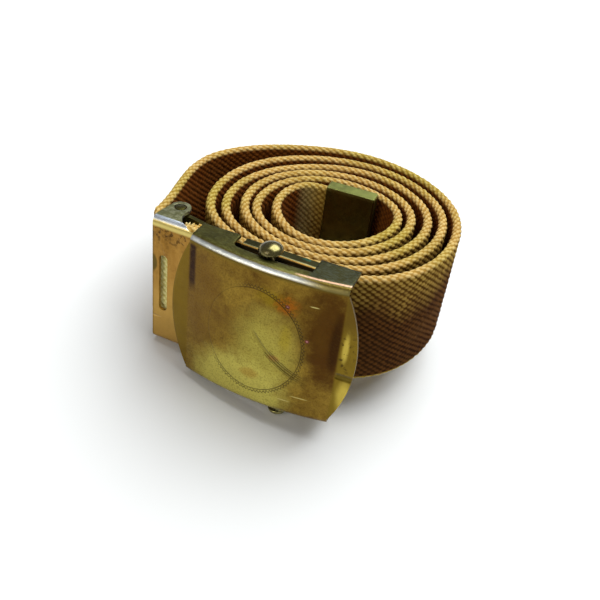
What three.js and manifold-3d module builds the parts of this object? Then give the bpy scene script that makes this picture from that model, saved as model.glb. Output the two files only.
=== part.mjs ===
// A woven cotton trouser belt, rolled up on its edge, with a plain brass box buckle.
// Millimetres, +Z up. The buckle's face looks along -Y. The origin is on the ground, under the
// middle of the belt as it stands.
//
// The belt is drawn level first: the coil is wound about the origin and z = 0 is the buckle's
// middle height. The buckle has a frame of its own: x along the face to the right, y from the
// face inwards to the coil, z up. At the end the whole belt is tilted onto its lowest points.

import * as THREE from 'three';
import { mergeVertices } from 'three/addons/utils/BufferGeometryUtils.js';
import Module from 'manifold-3d';

const wasm = await Module();
wasm.setup();

// Driving dimensions
const SHEET = 0.8;            // brass sheet of the buckle
const GAP = 0.3;              // clearance between neighbouring pieces

const WEB = { width: 30, thickness: 2.3, top: 16.8, steps: 260 };
const TIP = { length: 12.8, sheet: 0.45 };
const FACE = {
  halfWidth: 18.7,            // from the middle to the crease where a wing starts
  halfHeight: 19.2,
  bow: 2.3,                   // how far the middle stands in front of the creases
  corner: 1.2,                // outer radius of the rolled top and bottom edges
  wing: 4.4,                  // reach of a wing past its crease
  wingHalfHeight: 18.5,
  wingAngle: 4,               // degrees that a wing leans back
  flangeBack: 5.9,            // back edge of the top and bottom flanges, in the middle
  flangeSlant: 0.037,         // how much further back it is for each millimetre to the right
};
const SLOT = { left: -9.5, right: 9.6, strip: 2.7, corner: 1.5 };
const FRAME = {
  left: -31.3,
  right: 16,
  front: 4.0,                 // front of its wall, behind the creases of the face
  halfHeight: 18.1,
  corner: 1.8,
  flangeBack: 5.3,
  tongue: { left: -8.9, right: 9.1, back: 7.7 },
};
const EAR = { x: -28.0, y: 10.9, radius: 2.5, hole: 1.5, foot: -24.6 };
const WINDOW = { x: -28.4, radius: 1.1, halfHeight: 8.2 };
const NOTCH = { x: -21.3, y: 8.9, radius: 4.5, dip: 1.1, dipRadius: 2.3 };
const JAW = {
  halfHeight: 16.9,
  knuckle: 1.3,
  lug: 1.2,
  tip: -15.3,                 // where the teeth end
  thickness: 1.1,
  slope: 1.5,                 // reach of the slanted underside before the teeth
  edge: 0.35,
  teeth: 9,
  toothGap: 1.2,
};
const BAR = {                 // the places are where the rod meets its heads
  radius: 1.2,
  top: { place: new THREE.Vector3(-0.85, 2.5, 20.5), radius: 2.8, height: 2.2 },
  bottom: { place: new THREE.Vector3(5.3, 2.2, -22.7), radius: 2.4, height: 1.9 },
};
const BUCKLE = { x: 2.1, y: -32.0 };

// The coil: the middle line of the web, as its distance from the coil's centre, turn by turn
// from the inside out. The buckle is in the south. Directions are degrees from +X towards +Y.
const DIRECTIONS = { n: 69, nw: 124, w: 169, sw: 214, s: 279, se: 324, e: 387 };
const TURNS = [
  { nw: 11.2, w: 9.7, sw: 9.8, s: 14.2, se: 16.9, e: 20.6 },
  { n: 17.4, nw: 14.4, w: 13.6, sw: 14.7, s: 17.4, se: 20.1, e: 24.0 },
  { n: 21.3, nw: 17.5, w: 16.9, sw: 17.6, s: 20.2, se: 23.7, e: 28.2 },
  { n: 25.7, nw: 20.7, w: 20.6, sw: 22.2, s: 22.9, se: 27.5, e: 32.0 },
  { n: 30.0, nw: 25.9, w: 25.0, sw: 25.8, s: 25.6, se: 31.6, e: 35.6 },
  { n: 34.4, nw: 32.2, w: 35.0, sw: 37.6 },
];
// Where the web starts, flat inside its brass tip, and where it runs into the clamp
const TIP_LINE = { x: -0.9, y: 10.6, slope: 3.4, length: 12.0 };
const CLAMP_RUN = [              // x in the buckle's frame, and how far it is still from lying flat
  { x: -33.2, away: 4.0 },
  { x: -31.3, away: 1.35 },
  { x: -28.3, away: 0.2 },
  { x: -24.5, away: 0.05 },
  { x: -19.5, away: 0.05 },
  { x: -14.6, away: 0.05 },
];

// How the belt stands: it leans on the bar's lower head and the coil's far lower rim, in degrees
// about X and Y
const REST = { pitch: -7.29, roll: -8.476 };

const BRASS = { color: 0x9a7d3a, roughness: 0.38, metalness: 1 };
const COPPER_BRASS = { color: 0x9c6a3c, roughness: 0.42, metalness: 1 };
const DARK_BRASS = { color: 0x5e5428, roughness: 0.45, metalness: 1 };
const COTTON = { color: 0xb08a4e, roughness: 0.95, metalness: 0 };

const degrees = THREE.MathUtils.degToRad;

// Solids for joining and cutting
function solid(geometry) {
  const bare = geometry.clone();
  bare.deleteAttribute('normal');
  bare.deleteAttribute('uv');
  const merged = mergeVertices(bare, 1e-4);
  return new wasm.Manifold(new wasm.Mesh({
    numProp: 3,
    vertProperties: new Float32Array(merged.attributes.position.array),
    triVerts: new Uint32Array(merged.index.array),
  }));
}

function geometryOf(body) {
  const mesh = body.getMesh();
  const geometry = new THREE.BufferGeometry();
  const places = new Float32Array(mesh.vertProperties);
  geometry.setAttribute('position', new THREE.BufferAttribute(places, 3));
  geometry.setIndex(new THREE.BufferAttribute(new Uint32Array(mesh.triVerts), 1));
  geometry.computeVertexNormals();
  return geometry;
}

function extrude(shape, depth) {
  return new THREE.ExtrudeGeometry(shape, { depth, bevelEnabled: false, curveSegments: 10 });
}

// A plan view (x, y) raised from z = low to high
function raised(shape, low, high) {
  return solid(extrude(shape, high - low).translate(0, 0, low));
}

// A front view (x, z) pushed through from y = front to back
function pushed(shape, front, back) {
  return solid(extrude(shape, back - front).rotateX(Math.PI / 2).translate(0, back, 0));
}

// A side view (y, z) carried from x = left to right
function carried(shape, left, right) {
  const turn = new THREE.Matrix4().makeBasis(
    new THREE.Vector3(0, 1, 0), new THREE.Vector3(0, 0, 1), new THREE.Vector3(1, 0, 0));
  return solid(extrude(shape, right - left).applyMatrix4(turn).translate(left, 0, 0));
}

function polygon(points) {
  return new THREE.Shape(points.map(([x, y]) => new THREE.Vector2(x, y)));
}

function upright(radius, low, high, x, y) {
  const post = new THREE.CylinderGeometry(radius, radius, high - low, 20);
  return solid(post.rotateX(Math.PI / 2).translate(x, y, (low + high) / 2));
}

// A folded sheet seen from its end: a wall with two flanges, rounded outside and inside.
// a runs along the wall and b away from it.
function channel(halfHeight, depth, corner) {
  const inner = corner - SHEET * 0.75;
  const shape = new THREE.Shape();
  shape.moveTo(-halfHeight, depth);
  shape.lineTo(-halfHeight, corner);
  shape.absarc(-halfHeight + corner, corner, corner, Math.PI, Math.PI * 1.5, false);
  shape.lineTo(halfHeight - corner, 0);
  shape.absarc(halfHeight - corner, corner, corner, -Math.PI / 2, 0, false);
  shape.lineTo(halfHeight, depth);
  shape.lineTo(halfHeight - SHEET, depth);
  shape.lineTo(halfHeight - SHEET, SHEET + inner);
  shape.absarc(halfHeight - SHEET - inner, SHEET + inner, inner, 0, -Math.PI / 2, true);
  shape.lineTo(-halfHeight + SHEET + inner, SHEET);
  shape.absarc(-halfHeight + SHEET + inner, SHEET + inner, inner, Math.PI * 1.5, Math.PI, true);
  shape.lineTo(-halfHeight + SHEET, depth);
  return shape;
}

// A smooth plan line through points: natural cubic splines of x and y over the distance
// between the points
function naturalSpline(knots, values) {
  const last = knots.length - 1;
  const bend = new Array(last + 1).fill(0);
  const upper = new Array(last + 1).fill(0);
  for (let i = 1; i < last; i += 1) {
    const before = knots[i] - knots[i - 1];
    const after = knots[i + 1] - knots[i];
    const rise = (values[i + 1] - values[i]) / after - (values[i] - values[i - 1]) / before;
    const pivot = 2 * (before + after) - before * upper[i - 1];
    upper[i] = after / pivot;
    bend[i] = (6 * rise - before * bend[i - 1]) / pivot;
  }
  for (let i = last - 1; i > 0; i -= 1) bend[i] -= upper[i] * bend[i + 1];
  return (t) => {
    let i = 0;
    while (i < last - 1 && t > knots[i + 1]) i += 1;
    const span = knots[i + 1] - knots[i];
    const a = knots[i + 1] - t;
    const b = t - knots[i];
    return (bend[i] * a ** 3 + bend[i + 1] * b ** 3) / (6 * span)
      + (values[i] / span - bend[i] * span / 6) * a
      + (values[i + 1] / span - bend[i + 1] * span / 6) * b;
  };
}

// Points of the web's middle line, from its end in the tip to its end in the clamp
function webPoints() {
  const points = [];
  for (const share of [1, 0.5, 0]) {
    const along = TIP_LINE.length * share;
    points.push([
      TIP_LINE.x + along * Math.cos(degrees(TIP_LINE.slope)),
      TIP_LINE.y + along * Math.sin(degrees(TIP_LINE.slope)),
    ]);
  }
  for (const turn of TURNS) {
    for (const [name, direction] of Object.entries(DIRECTIONS)) {
      if (name in turn) {
        const angle = degrees(direction);
        points.push([turn[name] * Math.cos(angle), turn[name] * Math.sin(angle)]);
      }
    }
  }
  const depth = FRAME.front + SHEET + GAP + WEB.thickness / 2;
  for (const { x, away } of CLAMP_RUN) points.push([BUCKLE.x + x, BUCKLE.y + depth + away]);
  return points;
}

class WebLine extends THREE.Curve {
  constructor() {
    super();
    const points = webPoints();
    const knots = [0];
    for (let i = 1; i < points.length; i += 1) {
      const step = Math.hypot(points[i][0] - points[i - 1][0], points[i][1] - points[i - 1][1]);
      knots.push(knots[i - 1] + step);
    }
    this.total = knots[knots.length - 1];
    this.x = naturalSpline(knots, points.map((point) => point[0]));
    this.y = naturalSpline(knots, points.map((point) => point[1]));
    this.arcLengthDivisions = 4000;
  }

  getPoint(t, target = new THREE.Vector3()) {
    return target.set(this.x(t * this.total), this.y(t * this.total), WEB.top - WEB.width / 2);
  }
}

// The web: a flat strip with round edges, carried along its line
function webbing() {
  const half = WEB.width / 2;
  const round = WEB.thickness / 2;
  const section = new THREE.Shape();
  section.absarc(half - round, 0, round, -Math.PI / 2, Math.PI / 2, false);
  section.absarc(-half + round, 0, round, Math.PI / 2, Math.PI * 1.5, false);
  return new THREE.ExtrudeGeometry(section, {
    steps: WEB.steps, curveSegments: 2, extrudePath: new WebLine(),
  });
}

// The tip: a brass sleeve folded over the web's inner end, closed at its free end.
// Its own frame: x along the web from the mouth to the free end.
function endTip() {
  const inside = WEB.thickness / 2 + GAP;
  const height = WEB.width / 2 + GAP;
  const bevel = 0.4;
  const block = new THREE.Shape();
  const top = height + TIP.sheet - bevel;
  const side = inside + TIP.sheet - bevel;
  block.moveTo(-side, -top);
  block.lineTo(side, -top);
  block.lineTo(side, top);
  block.lineTo(-side, top);
  const sleeve = new THREE.ExtrudeGeometry(block, {
    depth: TIP.length - 2 * bevel, bevelThickness: bevel, bevelSize: bevel, bevelSegments: 3,
  });
  const turn = new THREE.Matrix4().makeBasis(
    new THREE.Vector3(0, 1, 0), new THREE.Vector3(0, 0, 1), new THREE.Vector3(1, 0, 0));
  const pocket = new THREE.BoxGeometry(TIP.length, 2 * inside, 2 * height);
  const body = solid(sleeve.applyMatrix4(turn).translate(bevel, 0, 0));
  return geometryOf(body.subtract(solid(pocket.translate(TIP.length / 2 - TIP.sheet, 0, 0))));
}

// The face: a sheet bowed along a parabola, with a flange rolled back at the top and the bottom
function bowAt(x) {
  return -FACE.bow * (1 - (x / FACE.halfWidth) ** 2);
}

function flangeBackAt(x) {
  return FACE.flangeBack + FACE.flangeSlant * x;
}

class BowLine extends THREE.Curve {
  getPoint(t, target = new THREE.Vector3()) {
    const x = FACE.halfWidth * (2 * t - 1);
    return target.set(x, bowAt(x), 0);
  }
}

function wing(side) {
  const reach = FACE.wing;
  const half = FACE.wingHalfHeight;
  const radius = (half * half + reach * reach) / (2 * reach);
  const spread = Math.asin(half / radius);
  const root = 0.5;
  const outline = new THREE.Shape();
  outline.moveTo(-root, half);
  outline.lineTo(-root, -half);
  outline.lineTo(0, -half);
  outline.absarc(reach - radius, 0, radius, -spread, spread, false);
  const leaf = extrude(outline, SHEET).rotateX(Math.PI / 2).translate(0, SHEET, 0);
  leaf.rotateZ(degrees(FACE.wingAngle));
  const body = solid(leaf.translate(FACE.halfWidth, 0, 0));
  return side > 0 ? body : body.mirror([1, 0, 0]);
}

// The bar's slot in plan: it leaves a strip of the flange that follows the bow
function slotShape() {
  const { left, right, strip, corner } = SLOT;
  const back = flangeBackAt(right) + 2;
  const points = [[left, back], [left, bowAt(left) + strip + corner]];
  const steps = 14;
  for (let i = 0; i <= steps; i += 1) {
    const x = left + corner / 2 + (right - left - corner / 2) * i / steps;
    points.push([x, bowAt(x) + strip + (i === 0 ? corner / 2 : 0)]);
  }
  points.push([right, back]);
  return polygon(points);
}

function facePlate() {
  const section = channel(FACE.halfHeight, FACE.flangeBack + 4, FACE.corner);
  let body = solid(new THREE.ExtrudeGeometry(section, {
    steps: 18, curveSegments: 5, extrudePath: new BowLine(),
  }));
  const reach = FACE.halfWidth + FACE.wing + 1;
  const behind = polygon([
    [-reach, flangeBackAt(-reach)], [reach, flangeBackAt(reach)], [reach, 20], [-reach, 20],
  ]);
  body = body.subtract(raised(behind, -FACE.halfHeight - 1, FACE.halfHeight + 1));
  body = body.add(wing(1)).add(wing(-1));
  for (const side of [1, -1]) {
    const flange = side * (FACE.halfHeight - SHEET / 2);
    body = body.subtract(raised(slotShape(), flange - SHEET, flange + SHEET));
  }
  return geometryOf(body);
}

// The clamp frame: a channel whose wall holds the web's end. It has an ear at the top and
// the bottom for the jaw's pins, a window, a round notch, and a tongue that closes the slot.
function frameOutline() {
  const { left, right, front, flangeBack, tongue } = FRAME;
  const shape = new THREE.Shape();
  shape.moveTo(left, front - 1);
  shape.lineTo(right, front - 1);
  shape.lineTo(right, flangeBack);
  shape.lineTo(tongue.right, flangeBack);
  shape.lineTo(tongue.right, tongue.back);
  shape.lineTo(tongue.left, tongue.back);
  shape.lineTo(tongue.left, flangeBack);
  shape.lineTo(EAR.foot, flangeBack);
  shape.absarc(EAR.x, EAR.y, EAR.radius, 0, Math.PI, false);
  shape.lineTo(left, front + 2);
  return shape;
}

function clampFrame() {
  const { left, right, front, halfHeight } = FRAME;
  const depth = EAR.y + EAR.radius - front + 1;
  const section = channel(halfHeight, depth, FRAME.corner);
  const side = section.getPoints(5).map((point) => [point.y, point.x]).reverse();
  let body = carried(polygon(side), left, right).translate([0, front, 0]);
  body = body.intersect(raised(frameOutline(), -halfHeight - 1, halfHeight + 1));
  for (const end of [1, -1]) {
    const low = end > 0 ? halfHeight - 2 : -halfHeight - 1;
    body = body.subtract(upright(EAR.hole, low, low + 3, EAR.x, EAR.y));
    body = body.subtract(upright(NOTCH.radius, low, low + 3, NOTCH.x, NOTCH.y));
    const dip = new THREE.Shape();
    const middle = end * (halfHeight + NOTCH.dipRadius - NOTCH.dip);
    dip.absarc(NOTCH.x, middle, NOTCH.dipRadius, 0, Math.PI * 2, false);
    body = body.subtract(pushed(dip, front - 1, front + 3));
  }
  const window = new THREE.Shape();
  const end = WINDOW.halfHeight - WINDOW.radius;
  window.absarc(WINDOW.x, end, WINDOW.radius, 0, Math.PI, false);
  window.absarc(WINDOW.x, -end, WINDOW.radius, Math.PI, Math.PI * 2, false);
  body = body.subtract(pushed(window, front - 1, front + SHEET + 0.5));
  return geometryOf(body);
}

// The jaw: a plate on two pins, closed on the web with its row of teeth
function clampJaw() {
  const backOfWeb = FRAME.front + SHEET + GAP + WEB.thickness;
  const bite = backOfWeb + GAP;
  const profile = polygon([
    [EAR.x, EAR.y - JAW.thickness / 2],
    [JAW.tip - JAW.slope, bite + JAW.edge],
    [JAW.tip - JAW.slope / 2, bite],
    [JAW.tip, bite + JAW.edge],
    [JAW.tip, bite + JAW.thickness],
    [EAR.x, EAR.y + JAW.thickness / 2],
  ]);
  let body = raised(profile, -JAW.halfHeight, JAW.halfHeight);
  body = body.add(upright(JAW.knuckle, -JAW.halfHeight, JAW.halfHeight, EAR.x, EAR.y));
  body = body.add(upright(JAW.lug, -FRAME.halfHeight, FRAME.halfHeight, EAR.x, EAR.y));
  const pitch = 2 * JAW.halfHeight / JAW.teeth;
  for (let i = 1; i < JAW.teeth; i += 1) {
    const gap = new THREE.BoxGeometry(2, 4, JAW.toothGap);
    body = body.subtract(solid(gap.translate(JAW.tip, bite, i * pitch - JAW.halfHeight)));
  }
  return geometryOf(body);
}

// The roller bar: a rod through both slots with a domed head outside each flange
function barHead({ radius, height }) {
  const rim = 0.3;
  const profile = [new THREE.Vector2(0, 0), new THREE.Vector2(radius - 0.2, 0)];
  const steps = 6;
  for (let i = 0; i <= steps; i += 1) {
    const angle = Math.PI / 2 * i / steps;
    profile.push(new THREE.Vector2(
      radius * Math.cos(angle), rim + (height - rim) * Math.sin(angle)));
  }
  profile[profile.length - 1].x = 0;
  return new THREE.LatheGeometry(profile, 20).rotateX(Math.PI / 2);
}

function rollerBar() {
  const axis = BAR.top.place.clone().sub(BAR.bottom.place);
  const length = axis.length();
  const lean = new THREE.Quaternion().setFromUnitVectors(new THREE.Vector3(0, 0, 1), axis.normalize());
  const overlap = 0.1;
  const rod = new THREE.CylinderGeometry(BAR.radius, BAR.radius, length + 2 * overlap, 20);
  const top = barHead(BAR.top).translate(0, 0, length / 2);
  const bottom = barHead(BAR.bottom).rotateX(Math.PI).translate(0, 0, -length / 2);
  const body = solid(rod.rotateX(Math.PI / 2)).add(solid(top)).add(solid(bottom));
  const middle = BAR.top.place.clone().add(BAR.bottom.place).multiplyScalar(0.5);
  return geometryOf(body).applyQuaternion(lean).translate(middle.x, middle.y, middle.z);
}

function named(name, geometry, finish) {
  const mesh = new THREE.Mesh(geometry, new THREE.MeshStandardMaterial(finish));
  mesh.name = name;
  return mesh;
}

const buckle = new THREE.Group();
buckle.add(named('face_plate', facePlate(), BRASS));
buckle.add(named('clamp_frame', clampFrame(), COPPER_BRASS));
buckle.add(named('clamp_jaw', clampJaw(), DARK_BRASS));
buckle.add(named('roller_bar', rollerBar(), BRASS));
buckle.position.set(BUCKLE.x, BUCKLE.y, 0);

const tip = named('end_tip', endTip(), DARK_BRASS);
const mouth = TIP_LINE.length + GAP + TIP.sheet - TIP.length;
tip.rotation.z = degrees(TIP_LINE.slope);
tip.position.set(
  TIP_LINE.x + mouth * Math.cos(degrees(TIP_LINE.slope)),
  TIP_LINE.y + mouth * Math.sin(degrees(TIP_LINE.slope)),
  WEB.top - WEB.width / 2,
);

const belt = new THREE.Group();
belt.add(named('webbing', webbing(), COTTON));
belt.add(tip);
belt.add(buckle);
belt.rotation.set(degrees(REST.pitch), degrees(REST.roll), 0);
const bounds = new THREE.Box3().setFromObject(belt, true);
const centre = bounds.getCenter(new THREE.Vector3());
belt.position.set(-centre.x, -centre.y, -bounds.min.z);

const part = new THREE.Group();
part.add(belt);

export default part;
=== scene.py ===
# %% [markdown]
# # A rolled cotton trouser belt with a brass box buckle
# The belt is one woven cotton strap, rolled up on its edge, with an old brass buckle lying
# against the coil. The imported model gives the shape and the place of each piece. This lesson
# gives them their surfaces: yarns, tarnish, scratches and worn edges.

# %% Load the frame
import math

import bpy
import numpy as np
from mathutils import Matrix


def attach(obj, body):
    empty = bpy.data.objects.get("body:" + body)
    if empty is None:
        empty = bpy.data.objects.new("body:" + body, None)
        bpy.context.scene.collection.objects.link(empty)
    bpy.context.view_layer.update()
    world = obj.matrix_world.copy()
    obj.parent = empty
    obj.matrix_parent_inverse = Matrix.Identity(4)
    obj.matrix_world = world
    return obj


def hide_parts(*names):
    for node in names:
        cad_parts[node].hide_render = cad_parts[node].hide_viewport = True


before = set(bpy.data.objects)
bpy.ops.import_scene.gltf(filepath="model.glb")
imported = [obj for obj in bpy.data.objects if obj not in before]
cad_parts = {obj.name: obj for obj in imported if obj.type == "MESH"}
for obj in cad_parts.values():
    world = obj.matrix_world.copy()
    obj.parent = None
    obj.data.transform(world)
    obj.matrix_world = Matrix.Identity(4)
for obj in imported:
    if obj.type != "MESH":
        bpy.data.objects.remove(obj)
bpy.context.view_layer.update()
print("pieces in the frame:", sorted(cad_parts))

# %% [markdown]
# ## The belt's own axes
# The belt is drawn level, in millimetres, with the coil round the origin. The real one doesn't
# stand level: it leans on the bar's lower head and on the coil's rim. So each shape here is made
# in the level frame, and one small turn and shift carries it to its place. The shift is read off
# the clamp frame's box, so nothing is fitted by eye.

# %% Level frame to the object's frame
MM = 0.001
LEAN_ABOUT_X = math.radians(-7.29)
LEAN_ABOUT_Y = math.radians(-8.476)
BUCKLE = np.array((2.1, -32.0, 0.0))
CLAMP_LEFT = -31.3
CLAMP_FRONT = 4.0


def turn_about_x(angle):
    """The 3 by 3 matrix of a turn about X."""
    c, s = math.cos(angle), math.sin(angle)
    return np.array(((1, 0, 0), (0, c, -s), (0, s, c)))


def turn_about_y(angle):
    """The 3 by 3 matrix of a turn about Y."""
    c, s = math.cos(angle), math.sin(angle)
    return np.array(((c, 0, s), (0, 1, 0), (-s, 0, c)))


def turn_about_z(angle):
    """The 3 by 3 matrix of a turn about Z."""
    c, s = math.cos(angle), math.sin(angle)
    return np.array(((c, -s, 0), (s, c, 0), (0, 0, 1)))


def cad_points(node):
    """The corners of a frame node, as rows of x, y and z in millimetres."""
    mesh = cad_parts[node].data
    flat = np.empty(len(mesh.vertices) * 3)
    mesh.vertices.foreach_get("co", flat)
    return flat.reshape(-1, 3) / MM


LEAN = turn_about_x(LEAN_ABOUT_X) @ turn_about_y(LEAN_ABOUT_Y)
clamp = cad_points("clamp_frame") @ LEAN
LEVEL_SHIFT = np.array((
    clamp[:, 0].min() - CLAMP_LEFT - BUCKLE[0],
    clamp[:, 1].min() - CLAMP_FRONT - BUCKLE[1],
    (clamp[:, 2].min() + clamp[:, 2].max()) / 2,
))


def placed(level_points):
    """Level millimetres to the object's metres: add the shift, then lean."""
    return (np.asarray(level_points) + LEVEL_SHIFT) @ LEAN.T * MM


print("shift of the level frame, mm:", np.round(LEVEL_SHIFT, 3))

# %% [markdown]
# ## The camera
# The camera was fitted to the photo in the level frame: how far it is, how high it looks down
# from, how far it is turned round the coil and how much it is rolled. It leans with the belt, so
# that it keeps the same view of it.

# %% Camera
FOCAL_PX = 800.0
IMAGE_PX = 600.0
SENSOR_MM = 36.0
CAMERA = {"distance": 207.1, "right": -0.69, "up": -10.21}
ANGLES = {"down": 37.07, "roll": 7.97, "round": 18.77}


def make_camera():
    """Three axes from the angles: back towards the camera, right and up in the image."""
    down = math.radians(ANGLES["down"])
    roll = math.radians(ANGLES["roll"])
    back = np.array((0, -math.cos(down), math.sin(down)))
    right = np.array((1.0, 0, 0))
    up = np.array((0, math.sin(down), math.cos(down)))
    place = back * CAMERA["distance"] + right * CAMERA["right"] + up * CAMERA["up"]
    axes = np.stack((
        math.cos(roll) * right + math.sin(roll) * up,
        math.cos(roll) * up - math.sin(roll) * right,
        back,
    ), axis=1)
    swing = turn_about_z(math.radians(ANGLES["round"]))
    matrix = np.eye(4)
    matrix[:3, :3] = LEAN @ swing @ axes
    matrix[:3, 3] = placed(swing @ place)
    data = bpy.data.cameras.new("camera")
    data.sensor_width = SENSOR_MM
    data.lens = SENSOR_MM * FOCAL_PX / IMAGE_PX
    data.clip_start = 0.01
    camera = bpy.data.objects.new("camera", data)
    bpy.context.scene.collection.objects.link(camera)
    camera.matrix_world = Matrix(matrix.tolist())
    bpy.context.scene.camera = camera
    return camera


camera = make_camera()
print("camera at, mm:", np.round(np.array(camera.location) / MM, 1))

# %% [markdown]
# ## Meshes from arrays
# Every new piece is a grid of points worked out with numpy. This helper puts such a grid into a
# mesh, with its faces, its own map and any number that the material needs at each point.

# %% From arrays to a mesh
BELT = "belt"
BAR = "bar"


def grid_quads(rows, columns, closed_columns=False):
    """Indices of the four corners of each cell of a grid that is stored row by row."""
    index = np.arange(rows * columns).reshape(rows, columns)
    if closed_columns:
        index = np.concatenate((index, index[:, :1]), axis=1)
    corners = (index[:-1, :-1], index[:-1, 1:], index[1:, 1:], index[1:, :-1])
    return np.stack(corners, axis=-1).reshape(-1, 4)


def new_piece(name, points, faces, body, flat_faces=0, uv=None, numbers=None):
    """A mesh object from level points in millimetres. The last flat_faces faces aren't smooth."""
    mesh = bpy.data.meshes.new(name)
    mesh.from_pydata(placed(points), [], faces)
    smooth = np.ones(len(mesh.polygons), bool)
    smooth[len(smooth) - flat_faces:] = False
    mesh.polygons.foreach_set("use_smooth", smooth)
    if uv is not None:
        corner_of = np.empty(len(mesh.loops), np.int32)
        mesh.loops.foreach_get("vertex_index", corner_of)
        layer = mesh.uv_layers.new(name="map")
        layer.data.foreach_set("uv", uv[corner_of].ravel())
    for key, values in (numbers or {}).items():
        mesh.attributes.new(key, "FLOAT", "POINT").data.foreach_set("value", values)
    mesh.update()
    piece = bpy.data.objects.new(name, mesh)
    bpy.context.scene.collection.objects.link(piece)
    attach(piece, body)
    return piece


# %% [markdown]
# ## The strap's route
# The strap is wound from its brass tip outwards. Its middle line is a smooth curve through a
# short table of distances from the coil's centre, one row for each turn, then through the flat
# run in the clamp. It is the same curve that the solid follows.

# %% Route
WEB_WIDTH = 30.0
WEB_THICKNESS = 2.3
WEB_TOP = 16.8
TIP = {"x": -0.9, "y": 10.6, "slope": math.radians(3.4), "inside": 12.0}
DIRECTIONS = {"n": 69, "nw": 124, "w": 169, "sw": 214, "s": 279, "se": 324, "e": 387}
TURNS = [
    {"nw": 11.2, "w": 9.7, "sw": 9.8, "s": 14.2, "se": 16.9, "e": 20.6},
    {"n": 17.4, "nw": 14.4, "w": 13.6, "sw": 14.7, "s": 17.4, "se": 20.1, "e": 24.0},
    {"n": 21.3, "nw": 17.5, "w": 16.9, "sw": 17.6, "s": 20.2, "se": 23.7, "e": 28.2},
    {"n": 25.7, "nw": 20.7, "w": 20.6, "sw": 22.2, "s": 22.9, "se": 27.5, "e": 32.0},
    {"n": 30.0, "nw": 25.9, "w": 25.0, "sw": 25.8, "s": 25.6, "se": 31.6, "e": 35.6},
    {"n": 34.4, "nw": 32.2, "w": 35.0, "sw": 37.6},
]
CLAMP_RUN = [                  # along the buckle, and how far inside the clamp's wall
    (-33.2, 4.0), (-31.3, 1.35), (-28.3, 0.2), (-24.5, 0.05), (-19.5, 0.05), (-14.6, 0.05),
]
CLAMP_DEPTH = 6.25
ROUTE_SAMPLES = 24000


def natural_spline(knots, values):
    """A function through the values: cubic pieces with matching slope and bend, straight ends."""
    gaps = np.diff(knots)
    count = len(knots)
    table = np.zeros((count, count))
    right = np.zeros(count)
    middle = np.arange(1, count - 1)
    table[0, 0] = table[-1, -1] = 1
    table[middle, middle - 1] = gaps[:-1]
    table[middle, middle] = 2 * (gaps[:-1] + gaps[1:])
    table[middle, middle + 1] = gaps[1:]
    right[middle] = 6 * np.diff(np.diff(values) / gaps)
    bends = np.linalg.solve(table, right)

    def at(t):
        """The cubic between the two knots on either side of t."""
        i = np.clip(np.searchsorted(knots, t) - 1, 0, count - 2)
        after, before, gap = t - knots[i], knots[i + 1] - t, gaps[i]
        curved = (bends[i] * before ** 3 + bends[i + 1] * after ** 3) / (6 * gap)
        start = (values[i] / gap - bends[i] * gap / 6) * before
        end = (values[i + 1] / gap - bends[i + 1] * gap / 6) * after
        return curved + start + end

    return at


def route_points():
    """Three points inside the tip, the table's points round the coil, and the clamp's points."""
    points = []
    for share in (1, 0.5, 0):
        along = TIP["inside"] * share
        rise = along * math.sin(TIP["slope"])
        points.append((TIP["x"] + along * math.cos(TIP["slope"]), TIP["y"] + rise))
    for turn in TURNS:
        for name, direction in DIRECTIONS.items():
            if name in turn:
                angle = math.radians(direction)
                points.append((turn[name] * math.cos(angle), turn[name] * math.sin(angle)))
    for x, away in CLAMP_RUN:
        points.append((BUCKLE[0] + x, BUCKLE[1] + CLAMP_DEPTH + away))
    return np.array(points)


def walk_route():
    """The route at even steps of its parameter, with the distance walked so far."""
    points = route_points()
    knots = np.concatenate(((0,), np.cumsum(np.hypot(*np.diff(points, axis=0).T))))
    t = np.linspace(0, knots[-1], ROUTE_SAMPLES)
    line = np.stack([natural_spline(knots, points[:, k])(t) for k in (0, 1)], axis=1)
    walked = np.concatenate(((0,), np.cumsum(np.hypot(*np.diff(line, axis=0).T))))
    return line, walked


ROUTE, WALKED = walk_route()
HEADING = np.gradient(ROUTE, axis=0)
HEADING /= np.hypot(*HEADING.T)[:, None]
WEB_LENGTH = WALKED[-1]
print("strap in the coil, mm:", round(WEB_LENGTH, 1))

# %% [markdown]
# ## The weave
# This is plain warp-faced webbing. Thick lengthwise yarns lie side by side, and each passes over
# one hidden cross yarn and under the next, with its neighbours half a step behind. So the face is
# a checkerboard of small slanted grains with dark pits between them, and the edges look like
# rope. The relief is real geometry where it shows: the height of a point is that of the highest
# grain above it, and a grain is half an ellipsoid.

# %% Weave relief
PICK = 1.0                    # from one cross yarn to the next
GRAIN = {"half_length": 0.8, "half_width": 0.57, "height": 0.28, "slant": 0.36}
FLAT = WEB_WIDTH - WEB_THICKNESS
ROUND = math.pi * WEB_THICKNESS / 2
AROUND = 2 * (FLAT + ROUND)
YARNS = 80                    # lengthwise yarns round the strap
YARN = AROUND / YARNS
LOOM_SEED = 11
loom = np.random.default_rng(LOOM_SEED)
CHANCE_COLUMNS = 410          # more than the grains along one yarn
UNEVEN = loom.normal(0, 1, (YARNS, CHANCE_COLUMNS, 3))
SHIFTED, STRETCHED, SWOLLEN = 0.09, 0.05, 0.09     # how uneven the grains are


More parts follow.
